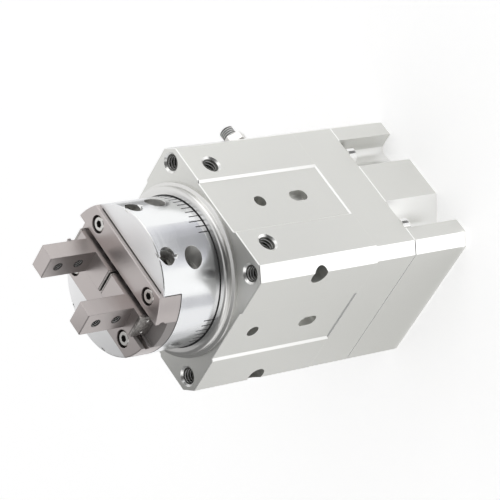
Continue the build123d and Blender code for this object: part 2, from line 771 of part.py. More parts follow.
# Lever pins, across the head
with BuildPart() as lever_pins:
    with BuildSketch(Plane.YZ.offset(-lever_pin_length / 2)):
        with Locations((-lever_pivot_y, lever_pivot_z), (lever_pivot_y, lever_pivot_z)):
            Circle(lever_pin_radius)
    extrude(amount=lever_pin_length)
keep(lever_pins, "lever_pins")

# Rod cover at the front end of the piston's bore, with the rod seal
with BuildPart() as rod_cover:
    with BuildSketch(Plane.XY.offset(rod_cover_bottom)):
        Circle(piston_bore_radius - seat_gap)
    extrude(amount=lever_room_bottom - rod_cover_bottom)
    with Locations(Plane.XY.offset(lever_room_bottom)):
        CounterBoreHole(rod_radius + running_gap, rod_seal_radius, rod_seal_height)
keep(rod_cover, "rod_cover")

with BuildPart() as rod_seal:
    with BuildSketch(Plane.XY.offset(lever_room_bottom - rod_seal_height + seat_gap)):
        Circle(rod_seal_radius - seat_gap)
        Circle(rod_radius + running_gap, mode=Mode.SUBTRACT)
    extrude(amount=rod_seal_height - 2 * seat_gap)
keep(rod_seal, "rod_seal")

# Piston with its rod and the clevis that carries the cross pin
with BuildPart() as piston:
    with BuildSketch(Plane.XZ):
        with BuildLine():
            Polyline(
                (0, piston_bottom),
                (piston_bore_radius - 2 * running_gap, piston_bottom),
                (piston_bore_radius - 2 * running_gap, piston_top),
                (rod_radius, piston_top),
                (rod_radius, clevis_bottom),
                (0, clevis_bottom),
                close=True,
            )
        make_face()
    revolve(axis=Axis.Z)
    with BuildSketch(Plane.XY.offset(clevis_bottom)):
        Rectangle(clevis_width, clevis_depth)
    extrude(amount=clevis_top - clevis_bottom)
    with BuildSketch(Plane.XY.offset(cross_pin_z - clevis_floor)):
        Rectangle(clevis_gap, clevis_depth + past_face)
    extrude(amount=clevis_top - cross_pin_z + clevis_floor, mode=Mode.SUBTRACT)
    with BuildSketch(Plane.YZ.offset(-clevis_width / 2)):
        with Locations((0, cross_pin_z)):
            Circle(cross_pin_radius + seat_gap)
    extrude(amount=clevis_width, mode=Mode.SUBTRACT)
    with BuildSketch(Plane.XY.offset(piston_bottom + magnet_bottom)):
        Circle(piston_bore_radius)
        Circle(magnet_inner_radius, mode=Mode.SUBTRACT)
    extrude(amount=magnet_height, mode=Mode.SUBTRACT)
    with BuildSketch(Plane.XY.offset(piston_bottom + piston_seal_bottom)):
        Circle(piston_bore_radius)
        Circle(piston_seal_inner_radius, mode=Mode.SUBTRACT)
    extrude(amount=piston_seal_height, mode=Mode.SUBTRACT)
keep(piston, "piston")

with BuildPart() as magnet:
    with BuildSketch(Plane.XY.offset(piston_bottom + magnet_bottom + seat_gap)):
        Circle(piston_bore_radius - 2 * running_gap)
        Circle(magnet_inner_radius + seat_gap, mode=Mode.SUBTRACT)
    extrude(amount=magnet_height - 2 * seat_gap)
keep(magnet, "piston_magnet")

with BuildPart() as piston_seal:
    with BuildSketch(Plane.XY.offset(piston_bottom + piston_seal_bottom + seat_gap)):
        Circle(piston_bore_radius - running_gap)
        Circle(piston_seal_inner_radius + seat_gap, mode=Mode.SUBTRACT)
    extrude(amount=piston_seal_height - 2 * seat_gap)
keep(piston_seal, "piston_seal")

with BuildPart() as cross_pin:
    with BuildSketch(Plane.YZ.offset(-clevis_width / 2 + pin_end_gap)):
        with Locations((0, cross_pin_z)):
            Circle(cross_pin_radius)
    extrude(amount=clevis_width - 2 * pin_end_gap)
keep(cross_pin, "cross_pin")

# Bell cranks. Each is drawn about its pivot at mid stroke, arms along Z and inwards along Y,
# then tilted back by half its swing to the closed position.
for name, side in (("lever_a", 1), ("lever_b", -1)):
    tilt = side * math.sin(math.radians(lever_swing))
    level = math.cos(math.radians(lever_swing))
    near_face = lever_side_gap if side > 0 else -lever_side_gap - lever_thickness
    pivot_plane = Plane(
        origin=(near_face, side * lever_pivot_y, lever_pivot_z),
        x_dir=(0, side * level, side * tilt),
        z_dir=(side, 0, 0),
    )
    with BuildPart() as lever:
        with BuildSketch(pivot_plane):
            Circle(lever_hub_radius)
            with BuildLine():
                Polyline(
                    (-lever_hub_radius + lever_root_inset, 0),
                    (-lever_neck_width / 2, lever_arm),
                    (lever_neck_width / 2, lever_arm),
                    (lever_hub_radius - lever_root_inset, 0),
                    close=True,
                )
            make_face()
            with Locations((0, lever_arm)):
                Circle(lever_tip_radius)
            with BuildLine():
                Polyline(
                    (-lever_pivot_y - fork_end, -fork_half_width),
                    (0, -lever_hub_radius + fork_root_inset),
                    (0, lever_hub_radius - fork_root_inset),
                    (-lever_pivot_y - fork_end, fork_half_width),
                    close=True,
                )
            make_face()
            Circle(lever_pin_radius + running_gap, mode=Mode.SUBTRACT)
            slot_half = cross_pin_radius + running_gap
            with Locations((-lever_pivot_y - fork_end, 0)):
                Rectangle(2 * (fork_end + fork_slot_past_pin), 2 * slot_half, mode=Mode.SUBTRACT)
            with Locations((-lever_pivot_y + fork_slot_past_pin, 0)):
                Circle(slot_half, mode=Mode.SUBTRACT)
        extrude(amount=side * lever_thickness)
    keep(lever, name)

# Fingers: base block in the guide's channel with a ball groove each side, and an upright tab
for letter, side in (("a", 1), ("b", -1)):
    base_middle = side * (finger_inner_end + finger_outer_end) / 2
    tab_middle = side * (tab_inner + tab_outer) / 2
    with BuildPart() as finger:
        with BuildSketch(Plane.XY.offset(finger_bottom)):
            with Locations((0, base_middle)):
                Rectangle(finger_width, finger_outer_end - finger_inner_end)
        extrude(amount=base_front - finger_bottom)
        with BuildSketch(Plane.XY.offset(base_front)):
            with Locations((0, tab_middle)):
                Rectangle(finger_width, tab_outer - tab_inner)
        extrude(amount=tab_height)
        chamfer(finger.faces().sort_by(Axis.Z)[-1].edges(), edge_break)
        with BuildSketch(Plane.XZ.offset(-side * finger_inner_end)):
            with Locations((-ball_line_x, ball_z), (ball_line_x, ball_z)):
                Circle(ball_radius + running_gap)
        extrude(amount=-side * (finger_outer_end - finger_inner_end), mode=Mode.SUBTRACT)
        with BuildSketch(Plane.XY.offset(finger_bottom)):
            with Locations((side * (lever_side_gap + lever_thickness / 2), side * notch_y)):
                Rectangle(lever_thickness + 2 * notch_side_gap, 2 * (lever_tip_radius + running_gap))
        extrude(amount=lever_tip_z + lever_tip_radius + notch_top_gap - finger_bottom, mode=Mode.SUBTRACT)
        tab_back = tab_inner if side > 0 else -tab_outer
        with BuildSketch(Plane.XZ.offset(-tab_back)):
            with Locations((0, finger_tip - tab_hole_from_tip), (0, finger_tip - tab_hole_from_tip - tab_hole_spacing)):
                Circle(tab_hole_radius)
        extrude(amount=-(tab_outer - tab_inner), mode=Mode.SUBTRACT)
    keep(finger, "finger_" + letter)

    with BuildPart() as end_plate:
        with BuildSketch(Plane.XY.offset(finger_bottom)):
            with Locations((0, side * (finger_outer_end + end_plate_thickness / 2))):
                Rectangle(finger_width, end_plate_thickness - 2 * seat_gap)
        extrude(amount=base_front - finger_bottom)
        chamfer(end_plate.faces().sort_by(Axis.Z)[-1].edges(), plate_break)
    keep(end_plate, "end_plate_" + letter)

    with BuildPart() as inner_plate:
        with BuildSketch(Plane.XY.offset(finger_bottom)):
            with Locations((0, side * (finger_inner_end - inner_plate_thickness / 2))):
                Rectangle(finger_width, inner_plate_thickness - 2 * seat_gap)
        extrude(amount=base_front - finger_bottom)
        chamfer(inner_plate.faces().sort_by(Axis.Z)[-1].edges(), plate_break)
    keep(inner_plate, "inner_plate_" + letter)

    with BuildPart() as guide_balls:
        ball_middle = side * (ball_first + ball_spacing * (balls_per_row - 1) / 2)
        with Locations((0, ball_middle, ball_z)):
            with GridLocations(2 * ball_line_x, ball_spacing, 2, balls_per_row):
                Sphere(ball_radius)
    keep(guide_balls, "guide_balls_" + letter)

os.makedirs("parts", exist_ok=True)
for name, part in parts.items():
    export_step(part, "parts/" + name + ".step")
print(len(parts), "nodes; lever swing", round(2 * lever_swing, 4), "deg; piston stroke", round(piston_stroke, 4))
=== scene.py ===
# %% [markdown]
# # A rotary gripper in the studio
# The object is an air-driven swivel body, 54 mm square, with a round head at its front.
# The head turns half a turn and slides two steel fingers apart. Its solids arrive ready-made
# as the frame. This lesson gives each of them the finish of the real metal, with painted highlight
# and painted shade on some faces, and models the fine pieces that are too small for the frame:
# threads, the angle scale, the pockets' slopes, a black ring of painted shade in the gap at the
# head's ring, screw sockets, joint lines and plate screws.

# %% Load the frame
import json
import math

import bmesh
import bpy
from mathutils import Euler, Matrix, Vector


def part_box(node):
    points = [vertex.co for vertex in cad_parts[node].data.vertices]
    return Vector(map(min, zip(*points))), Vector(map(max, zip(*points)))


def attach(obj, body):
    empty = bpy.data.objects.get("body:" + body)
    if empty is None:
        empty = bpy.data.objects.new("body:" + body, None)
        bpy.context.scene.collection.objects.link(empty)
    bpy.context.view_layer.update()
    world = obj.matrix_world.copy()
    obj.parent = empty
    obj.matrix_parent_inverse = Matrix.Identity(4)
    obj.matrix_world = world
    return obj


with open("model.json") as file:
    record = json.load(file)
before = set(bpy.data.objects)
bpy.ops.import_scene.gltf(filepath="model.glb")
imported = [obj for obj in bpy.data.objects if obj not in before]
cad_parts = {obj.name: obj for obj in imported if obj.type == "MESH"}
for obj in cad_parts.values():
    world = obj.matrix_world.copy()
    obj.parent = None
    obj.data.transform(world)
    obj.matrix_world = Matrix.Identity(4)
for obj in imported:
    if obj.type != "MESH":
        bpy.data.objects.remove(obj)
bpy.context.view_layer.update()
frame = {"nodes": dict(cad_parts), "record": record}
MM = 0.001
print("nodes in the frame:", len(frame["nodes"]))

# %% [markdown]
# ## The camera
# A product photographer stands far back with a long lens, so that the square body keeps its
# edges nearly parallel. The camera here stands 0.79 m away with a 180 mm lens. It is rolled,
# because the photograph shows the gripper lying in the air with its fingers to the lower left.

# %% Camera
camera_place = Vector((0.453675, -0.341283, 0.545210))
camera_look = Vector((-0.60335, 0.45786, -0.65294)).normalized()
camera_up = Vector((0.68099, 0.72188, -0.12307)).normalized()
camera_right = camera_look.cross(camera_up).normalized()

camera_data = bpy.data.cameras.new("studio_camera")
camera_data.sensor_width = 36.0
camera_data.lens = 180.6
camera_data.clip_end = 20.0
camera = bpy.data.objects.new("studio_camera", camera_data)
bpy.context.scene.collection.objects.link(camera)
camera.matrix_world = Matrix.Translation(camera_place) @ Matrix(
    (camera_right, camera_up, -camera_look)
).transposed().to_4x4()
bpy.context.scene.camera = camera
bpy.context.scene.view_settings.view_transform = "Standard"
print("camera looks along", tuple(round(c, 3) for c in camera_look))

# %% [markdown]
# ## Selecting in code
# An operator works on what is selected, and the loaded nodes arrive selected. Every step
# therefore starts from an empty selection, and then picks its own object.

# %% Selection helpers
def only(piece):
    """Select one object and make it the active one."""
    bpy.ops.object.select_all(action="DESELECT")
    piece.select_set(True)
    bpy.context.view_layer.objects.active = piece


def last_made(name):
    """Name the object that the last operator added."""
    piece = bpy.context.view_layer.objects.active
    piece.name = name
    piece.data.name = name
    return piece


def copied(piece, name):
    """Copy an object together with its mesh."""
    twin = piece.copy()
    twin.data = piece.data.copy()
    twin.name = name
    bpy.context.scene.collection.objects.link(twin)
    return twin


def joined(pieces, name):
    """Join several objects into the first of them."""
    only(pieces[0])
    for piece in pieces[1:]:
        piece.select_set(True)
    if len(pieces) > 1:
        bpy.ops.object.join()
    return last_made(name)


bpy.ops.object.select_all(action="DESELECT")

# %% [markdown]
# A finished piece keeps its object at the origin, unturned and unscaled, because patterns on
# Object coordinates are measured from there. Applying the transform moves the place into the
# mesh. Normals are made to point outwards last, and then the piece rides on its body.

# %% Finishing helper
def settle(piece, body, slot, smooth_angle=35.0, finish=None):
    """Put a piece's place into its mesh, turn its normals out, and let it ride on a body."""
    only(piece)
    bpy.ops.object.transform_apply(location=True, rotation=True, scale=True)
    bpy.ops.object.mode_set(mode="EDIT")
    bpy.ops.mesh.select_all(action="SELECT")
    bpy.ops.mesh.normals_make_consistent(inside=False)
    bpy.ops.object.mode_set(mode="OBJECT")
    bpy.ops.object.shade_smooth_by_angle(angle=math.radians(smooth_angle))
    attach(piece, body)
    piece.data.materials.clear()
    piece.data.materials.append(materials[finish or slot])
    print(piece.name, "has", len(piece.data.polygons), "faces")
    return piece


# %% [markdown]
# ## Effects as node groups
# Several finishes share an effect: the fine grain of a blasted skin, the rings that a lathe
# leaves, the straight lines of a grinding wheel, the way that a sharp edge catches light.
# Each effect is built once as a node group with named inputs. A material then places the group
# with its own values, so that all of them can be tuned from the outside.

# %% A group with named sockets
def effect(name, inputs, outputs):
    """Make a shader node group. Inputs have defaults; outputs have a socket type."""
    group = bpy.data.node_groups.new(name, "ShaderNodeTree")
    for label, default in inputs.items():
        socket = group.interface.new_socket(label, in_out="INPUT", socket_type="NodeSocketFloat")
        socket.default_value = default
    for label, kind in outputs.items():
        group.interface.new_socket(label, in_out="OUTPUT", socket_type=kind)
    entry = group.nodes.new("NodeGroupInput")
    exit_node = group.nodes.new("NodeGroupOutput")
    return group, entry, exit_node


def node(tree, kind, **settings):
    """Add a node and set its properties by name."""
    made = tree.nodes.new(kind)
    for label, value in settings.items():
        setattr(made, label, value)
    return made


def math_node(tree, operation, first, second=None):
    """A Math node whose inputs are sockets or plain numbers."""
    made = node(tree, "ShaderNodeMath", operation=operation)
    for index, value in enumerate((first, second)):
        if value is None:
            continue
        if isinstance(value, (int, float)):
            made.inputs[index].default_value = value
        else:
            tree.links.new(value, made.inputs[index])
    return made.outputs[0]


# %% [markdown]
# A blasted and anodised skin is a field of tiny round dents. Two noises stand for it: a fine one
# for the dents, and a broad one for the slow change in tone that large faces have.

# %% Blasted grain
grain_group, grain_in, grain_out = effect(
    "Blasted grain",
    {"Dent scale": 3500.0, "Cloud scale": 30.0},
    {"Dents": "NodeSocketFloat", "Clouds": "NodeSocketFloat"},
)
grain_place = node(grain_group, "ShaderNodeTexCoord")
for socket_in, socket_out, detail in (("Dent scale", "Dents", 2.0), ("Cloud scale", "Clouds", 3.0)):
    grain_noise = node(grain_group, "ShaderNodeTexNoise")
    grain_noise.inputs["Detail"].default_value = detail
    grain_group.links.new(grain_place.outputs["Object"], grain_noise.inputs["Vector"])
    grain_group.links.new(grain_in.outputs[socket_in], grain_noise.inputs["Scale"])
    grain_group.links.new(grain_noise.outputs["Fac"], grain_out.inputs[socket_out])
print("group", grain_group.name)

# %% [markdown]
# A lathe leaves rings. On the side of the head they follow one another along Z, and on its face
# they follow the radius. A noise that reads only the radius and Z makes both at once.

# %% Turned rings
ring_group, ring_in, ring_out = effect(
    "Turned rings",
    {"Ring scale": 900.0},
    {"Rings": "NodeSocketFloat", "Broad": "NodeSocketFloat"},
)
ring_place = node(ring_group, "ShaderNodeTexCoord")
ring_split = node(ring_group, "ShaderNodeSeparateXYZ")
ring_group.links.new(ring_place.outputs["Object"], ring_split.inputs[0])
x_squared = math_node(ring_group, "MULTIPLY", ring_split.outputs["X"], ring_split.outputs["X"])
y_squared = math_node(ring_group, "MULTIPLY", ring_split.outputs["Y"], ring_split.outputs["Y"])
radius = math_node(ring_group, "SQRT", math_node(ring_group, "ADD", x_squared, y_squared))
ring_join = node(ring_group, "ShaderNodeCombineXYZ")
ring_group.links.new(radius, ring_join.inputs["X"])
ring_group.links.new(ring_split.outputs["Z"], ring_join.inputs["Y"])
for share, label in ((1.0, "Rings"), (0.12, "Broad")):
    ring_noise = node(ring_group, "ShaderNodeTexNoise")
    ring_noise.inputs["Detail"].default_value = 3.0
    ring_group.links.new(ring_join.outputs[0], ring_noise.inputs["Vector"])
    ring_scale = math_node(ring_group, "MULTIPLY", ring_in.outputs["Ring scale"], share)
    ring_group.links.new(ring_scale, ring_noise.inputs["Scale"])
    ring_group.links.new(ring_noise.outputs["Fac"], ring_out.inputs[label])
print("group", ring_group.name)

# %% [markdown]
# A surface grinder leaves straight scratches along the way the table moves. The noise is
# stretched along Y, which is the long way of the guide and of the fingers.

# %% Ground lines
line_group, line_in, line_out = effect(
    "Ground lines",
    {"Line scale": 2600.0, "Stretch": 0.03},
    {"Lines": "NodeSocketFloat", "Broad": "NodeSocketFloat"},
)
line_place = node(line_group, "ShaderNodeTexCoord")
line_split = node(line_group, "ShaderNodeSeparateXYZ")
line_join = node(line_group, "ShaderNodeCombineXYZ")
line_group.links.new(line_place.outputs["Object"], line_split.inputs[0])
line_group.links.new(line_split.outputs["X"], line_join.inputs["X"])
line_group.links.new(line_split.outputs["Z"], line_join.inputs["Z"])
stretched = math_node(line_group, "MULTIPLY", line_split.outputs["Y"], line_in.outputs["Stretch"])
line_group.links.new(stretched, line_join.inputs["Y"])
for share, label in ((1.0, "Lines"), (0.06, "Broad")):
    line_noise = node(line_group, "ShaderNodeTexNoise")
    line_noise.inputs["Detail"].default_value = 3.0
    line_group.links.new(line_join.outputs[0], line_noise.inputs["Vector"])
    line_scale = math_node(line_group, "MULTIPLY", line_in.outputs["Line scale"], share)
    line_group.links.new(line_scale, line_noise.inputs["Scale"])
    line_group.links.new(line_noise.outputs["Fac"], line_out.inputs[label])
print("group", line_group.name)

# %% [markdown]
# No machined edge is truly sharp: a file or a tumbling drum takes 0.1 mm off, and this narrow
# band reflects a light that neither face does. The Bevel node bends the normal near an edge.
# How far it bends is also the mask for an edge tone. This tone is partly wear, because an edge is
# rubbed
# first, and partly painted light: a painted highlight where the tone is lighter, painted shade
# where it is darker.

# %% Rounded, rubbed and lit edges
edge_group, edge_in, edge_out = effect(
    "Rubbed edges",
    {"Edge radius": 0.00015, "Strength": 6.0},
    {"Normal": "NodeSocketVector", "Wear": "NodeSocketFloat"},
)
edge_bevel = node(edge_group, "ShaderNodeBevel", samples=6)
edge_group.links.new(edge_in.outputs["Edge radius"], edge_bevel.inputs["Radius"])
edge_plain = node(edge_group, "ShaderNodeNewGeometry")
edge_dot = node(edge_group, "ShaderNodeVectorMath", operation="DOT_PRODUCT")
edge_group.links.new(edge_bevel.outputs[0], edge_dot.inputs[0])
edge_group.links.new(edge_plain.outputs["Normal"], edge_dot.inputs[1])
bent = math_node(edge_group, "SUBTRACT", 1.0, edge_dot.outputs["Value"])
edge_amount = node(edge_group, "ShaderNodeMath", operation="MULTIPLY", use_clamp=True)
edge_group.links.new(bent, edge_amount.inputs[0])
edge_group.links.new(edge_in.outputs["Strength"], edge_amount.inputs[1])
edge_group.links.new(edge_bevel.outputs[0], edge_out.inputs["Normal"])
edge_group.links.new(edge_amount.outputs[0], edge_out.inputs["Wear"])
print("group", edge_group.name)

# %% [markdown]
# ## One function for every metal
# All the metals here are the same chain with other values: a pattern changes the tone and the
# roughness a little, its fine part is a bump, and edges have a tone of their own. It is lighter on
# most metals, partly as wear and partly as a painted highlight, and darker on the fingers, as
# painted shade along their edges. The shader itself stays in the material, where its plain values
# can be read.

# %% Metal material
least_roughness = 0.02
dent_depth = 0.0001


def metal(name, tone, rough, group, fine, broad, bump=0.02, spread=0.06, vary=0.08, edge=0.00015,
          edge_tone=1.25, metallic=1.0, **values):
    """A metal from a pattern group: fine is its bump output, broad is its tone output."""
    material = bpy.data.materials.new(name)
    material.use_nodes = True
    tree = material.node_tree
    shader = tree.nodes["Principled BSDF"]
    shader.inputs["Metallic"].default_value = metallic
    pattern = node(tree, "ShaderNodeGroup", node_tree=group)
    for label, value in values.items():
        pattern.inputs[label.replace("_", " ").capitalize()].default_value = value
    edges = node(tree, "ShaderNodeGroup", node_tree=edge_group)
    edges.inputs["Edge radius"].default_value = edge
    dark, light, edge_colour = (
        tuple(min(1.0, channel * factor) for channel in tone) + (1.0,)
        for factor in (1.0 - vary, 1.0 + vary, edge_tone)
    )
    body_mix = node(tree, "ShaderNodeMix", data_type="RGBA")
    body_mix.inputs["A"].default_value = dark
    body_mix.inputs["B"].default_value = light
    tree.links.new(pattern.outputs[broad], body_mix.inputs["Factor"])
    edge_mix = node(tree, "ShaderNodeMix", data_type="RGBA")
    edge_mix.inputs["B"].default_value = edge_colour
    tree.links.new(edges.outputs["Wear"], edge_mix.inputs["Factor"])
    tree.links.new(body_mix.outputs["Result"], edge_mix.inputs["A"])
    tree.links.new(edge_mix.outputs["Result"], shader.inputs["Base Color"])
    rough_map = node(tree, "ShaderNodeMapRange")
    rough_map.inputs["To Min"].default_value = max(least_roughness, rough - spread)
    rough_map.inputs["To Max"].default_value = rough + spread
    tree.links.new(pattern.outputs[broad], rough_map.inputs["Value"])
    tree.links.new(rough_map.outputs["Result"], shader.inputs["Roughness"])
    dents = node(tree, "ShaderNodeBump")
    dents.inputs["Strength"].default_value = bump
    dents.inputs["Distance"].default_value = dent_depth
    tree.links.new(pattern.outputs[fine], dents.inputs["Height"])
    tree.links.new(edges.outputs["Normal"], dents.inputs["Normal"])
    tree.links.new(dents.outputs["Normal"], shader.inputs["Normal"])
    return material


grain = {"group": grain_group, "fine": "Dents", "broad": "Clouds"}
rings = {"group": ring_group, "fine": "Rings", "broad": "Broad"}
lines = {"group": line_group, "fine": "Lines", "broad": "Broad"}

# %% [markdown]
# ## The finishes
# The body is blasted and clear anodised: pale, satin, almost without a reflection. The head and
# its ring come from the lathe and stay bright, so that their sides show broad bands.

# %% Aluminium
materials = {}
materials["anodised_body"] = metal(
    "anodised_body", (0.74, 0.74, 0.715), 0.50, **grain, bump=0.25, spread=0.03, vary=0.02)
materials["turned_head"] = metal(
    "turned_head", (0.82, 0.83, 0.845), 0.20, **rings, bump=0.10, spread=0.04, vary=0.04)
materials["turned_ring"] = metal(
    "turned_ring", (0.74, 0.735, 0.72), 0.30, **rings, bump=0.12, spread=0.05, vary=0.05)
materials["inner_aluminium"] = metal(
    "inner_aluminium", (0.62, 0.62, 0.60), 0.40, **rings, bump=0.10)

# %% [markdown]
# The guide and the fingers are ground stainless steel, darker and a little warm. The end plates
# are pressed and tumbled, which leaves them coarse. Screws and bearing balls are bright.

# %% Steels
materials["guide_steel"] = metal(
    "guide_steel", (0.51, 0.47, 0.46), 0.34, **lines, bump=0.15, vary=0.06)
# An edge tone under 1 paints shade along the fingers' edges.
materials["finger_steel"] = metal(
    "finger_steel", (0.51, 0.47, 0.46), 0.34, **lines, bump=0.15, vary=0.06, edge_tone=0.45)
materials["plate_steel"] = metal(
    "plate_steel", (0.42, 0.40, 0.385), 0.38, **grain, bump=1.0, spread=0.25, vary=0.95,
    dent_scale=1300.0, cloud_scale=1600.0)
materials["screw_steel"] = metal(
    "screw_steel", (0.62, 0.61, 0.59), 0.20, **rings, bump=0.05)
materials["set_screw_steel"] = metal(
    "set_screw_steel", (0.36, 0.355, 0.34), 0.34, **grain, bump=0.3)
materials["bearing_steel"] = metal(
    "bearing_steel", (0.60, 0.60, 0.61), 0.12, **rings, bump=0.03)
materials["shaft_steel"] = metal(
    "shaft_steel", (0.50, 0.50, 0.50), 0.42, **lines, bump=0.10)
materials["magnet_black"] = metal(
    "magnet_black", (0.06, 0.06, 0.06), 0.55, **grain, bump=0.3, metallic=0.4)

# %% [markdown]
# The flanks of a thread get a dark tone, darker than the face round it, as painted shade, on the
# stop screws too, and its crests a near-white tone as a painted highlight. Its flanks are narrow,
# and a wide rounding of their edges would wash them out: theirs is two or three hundredths of a
# millimetre. The hexagons that are pressed into screw heads are black as painted shade in the
# deep socket, and the same black paints the shade in the guide's joint.

# %% Threads and sockets
materials["cut_aluminium"] = metal(
    "cut_aluminium", (0.10, 0.10, 0.095), 0.34, **grain, bump=0.2, edge=0.00002, edge_tone=1.0)
materials["cut_steel"] = metal(
    "cut_steel", (0.10, 0.095, 0.09), 0.36, **grain, bump=0.2, edge=0.00002, edge_tone=1.0)
materials["screw_thread"] = metal(
    "screw_thread", (0.13, 0.13, 0.12), 0.34, **grain, bump=0.1, edge=0.00003, edge_tone=1.1)
materials["thread_crest"] = metal(
    "thread_crest", (0.95, 0.95, 0.93), 0.45, **grain, bump=0.1, metallic=0.2, edge=0.00002,
    edge_tone=1.0)
materials["socket_black"] = metal(
    "socket_black", (0.045, 0.043, 0.04), 0.45, **grain, bump=0.2, metallic=0.4, edge=0.00003,
    edge_tone=1.5)

# %% [markdown]
# The black in the gap at the head's ring is painted shade, and no metal: it takes the same chain
# with Metallic at zero, a very dark tone and a high roughness. The black of the angle scale is ink
# in an engraved line.

# %% Gap shade and ink
materials["seal_rubber"] = metal(
    "seal_rubber", (0.018, 0.018, 0.018), 0.60, **grain, bump=0.4, metallic=0.0, edge_tone=2.0)
materials["scale_ink"] = metal(
    "scale_ink", (0.03, 0.03, 0.032), 0.50, **grain, bump=0.2, metallic=0.0, edge_tone=1.6)

# %% [markdown]
# ## Finishes on the nodes
# Each node wears the finish that its record names. The cover bolts are brighter than the other
# screws, so they have a finish of their own.

# %% Dress the nodes
materials["bright_bolt"] = metal(
    "bright_bolt", (0.92, 0.92, 0.91), 0.14, **rings, bump=0.03, spread=0.02, vary=0.02)
for row in frame["record"]["subparts"]:
    cad_object = frame["nodes"][row["node"]]
    finish = "bright_bolt" if row["node"] == "cover_bolts" else row["material_slot"]
    cad_object.data.materials.clear()
    cad_object.data.materials.append(materials[finish])
print("finishes:", len(materials))

# %% [markdown]
# ## A second finish on some faces
# Chamfers are cut last, with a fast tool, and come out smoother than the blasted faces. They, the
# mouths of the head's holes and the grooves of the rear cover get a near-white tone as a painted
# highlight. The head's bores and the guide's channel are duller, and they and the holes through the
# finger tabs get a darker tone as painted shade. The head's front is faced flat. Such faces belong
# to the same solid, so a rule picks them by the way they face and where they are.

# %% Chamfers, bores and the channel
# Painted highlight: near-white tones for chamfers, hole mouths, pocket ends and the cover's
# grooves.
materials["cut_chamfer"] = metal(
    "cut_chamfer", (0.93, 0.93, 0.915), 0.32, **grain, bump=0.05, spread=0.02, vary=0.01,
    edge=0.00003, edge_tone=1.0)
materials["milled_groove"] = metal(
    "milled_groove", (0.90, 0.90, 0.885), 0.34, **grain, bump=0.10, spread=0.02, vary=0.01)
# Painted shade: a darker tone in the head's bores.
materials["bored_aluminium"] = metal(
    "bored_aluminium", (0.72, 0.715, 0.70), 0.45, **rings, bump=0.10, edge_tone=1.3)
materials["faced_head"] = metal(
    "faced_head", (0.86, 0.86, 0.865), 0.46, **rings, bump=0.04, edge_tone=1.1)
# Painted shade: a darker tone in the guide's channel.
materials["milled_steel"] = metal(
    "milled_steel", (0.29, 0.27, 0.265), 0.45, **lines, bump=0.20, edge_tone=1.6, metallic=0.15)


def second_finish(name, finish, chosen):
    """Give another finish to the faces of a node that a rule picks."""
    piece = frame["nodes"][name]
    piece.data.materials.append(materials[finish])
    picked = 0
    for face in piece.data.polygons:
        if chosen(face.normal, face.center / MM):
            face.material_index = len(piece.data.materials) - 1
            picked += 1
    print(name, "has", picked, "faces in", finish)


# %% [markdown]
# Each rule gets the face's normal and its centre in millimetres. A face looks along an axis where
# that part of its normal is over 0.9, and across it where that part is under 0.5. Each limit of a
# place stands a little off the nearest wall, so that no face lies right on it.

# %% Rules and what they pick
half_right = math.sqrt(0.5)
along_axis = 0.9
across_axis = 0.5
chamfer_slack = 0.02
mouth_slack = 0.1
outward_share = 0.96
head_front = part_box("gripper_body")[1].z / MM
guide_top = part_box("finger_guide")[1].z / MM
front_skin = head_front - 0.1
front_break = head_front - 0.3
channel_top = guide_top - 0.4
finger_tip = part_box("finger_a")[1].z / MM
block_zone = 20.0
groove_inner = 19.5
groove_outer = 26.6
groove_half = 18.6
groove_top = 20.5
head_zone = 21.7
below_seat = 101.0
beside_guide = 12.9
set_screw_y = 9.5
set_screw_zone = 2.6
mouth_low = 96.0
mouth_high = 112.0
mouth_zone = 18.0
tab_hole_depths = (4.2, 11.4)
tab_hole_zone = 1.6
channel_half = 5.2
channel_end = 15.0


def is_chamfer(normal, centre):
    """Any face cut at 45 degrees near the outside of the block."""
    outside = max(abs(centre.x), abs(centre.y)) > block_zone
    return outside and any(abs(abs(part) - half_right) < chamfer_slack for part in normal)


def in_cover_groove(normal, centre):
    """The upright faces of the grooves along the sides of the rear cover."""
    placed = groove_inner < abs(centre.x) < groove_outer and abs(centre.y) < groove_half
    upright = abs(normal.z) < across_axis and abs(normal.y) < along_axis
    return placed and centre.z < groove_top and upright


def in_head(normal, centre):
    """The bores of the head below the guide's seat, and the holes of the set screws."""
    in_screw_hole = (
        abs(centre.x) > beside_guide and abs(abs(centre.y) - set_screw_y) < set_screw_zone)
    placed = centre.z < below_seat or in_screw_hole
    return math.hypot(centre.x, centre.y) < head_zone and placed and centre.z < front_break


def on_head_front(normal, centre):
    """The flat front of the head."""
    return normal.z > along_axis and centre.z > front_skin


def is_hole_mouth(normal, centre):
    """Slanted faces on the head's round wall that don't look straight outwards: hole mouths."""
    reach = math.hypot(centre.x, centre.y)
    slanted = abs(abs(normal.x) - half_right) < mouth_slack
    turned_away = abs(normal.x * centre.x + normal.y * centre.y) < outward_share * reach
    return slanted and mouth_low < centre.z < mouth_high and mouth_zone < reach and turned_away


def in_tab_hole(normal, centre):
    """The walls of the two holes through a finger's tab."""
    return abs(normal.y) < across_axis and any(
        math.hypot(centre.x, centre.z - (finger_tip - depth)) < tab_hole_zone
        for depth in tab_hole_depths)


def in_channel(normal, centre):
    """The channel of the guide, apart from its end towards +Y."""
    return abs(centre.x) < channel_half and centre.y < channel_end and centre.z < channel_top


# These rules give painted highlight to chamfers, cover grooves and hole mouths, and painted shade
# to bores, tab holes and the channel.
second_finish("front_body", "cut_chamfer", is_chamfer)
second_finish("rear_cover", "cut_chamfer", is_chamfer)
second_finish("rear_cover", "milled_groove", in_cover_groove)
second_finish("gripper_body", "bored_aluminium", in_head)
second_finish("gripper_body", "faced_head", on_head_front)
second_finish("gripper_body", "cut_chamfer", is_hole_mouth)
second_finish("finger_a", "cut_steel", in_tab_hole)
second_finish("finger_b", "cut_steel", in_tab_hole)
second_finish("finger_guide", "milled_steel", in_channel)

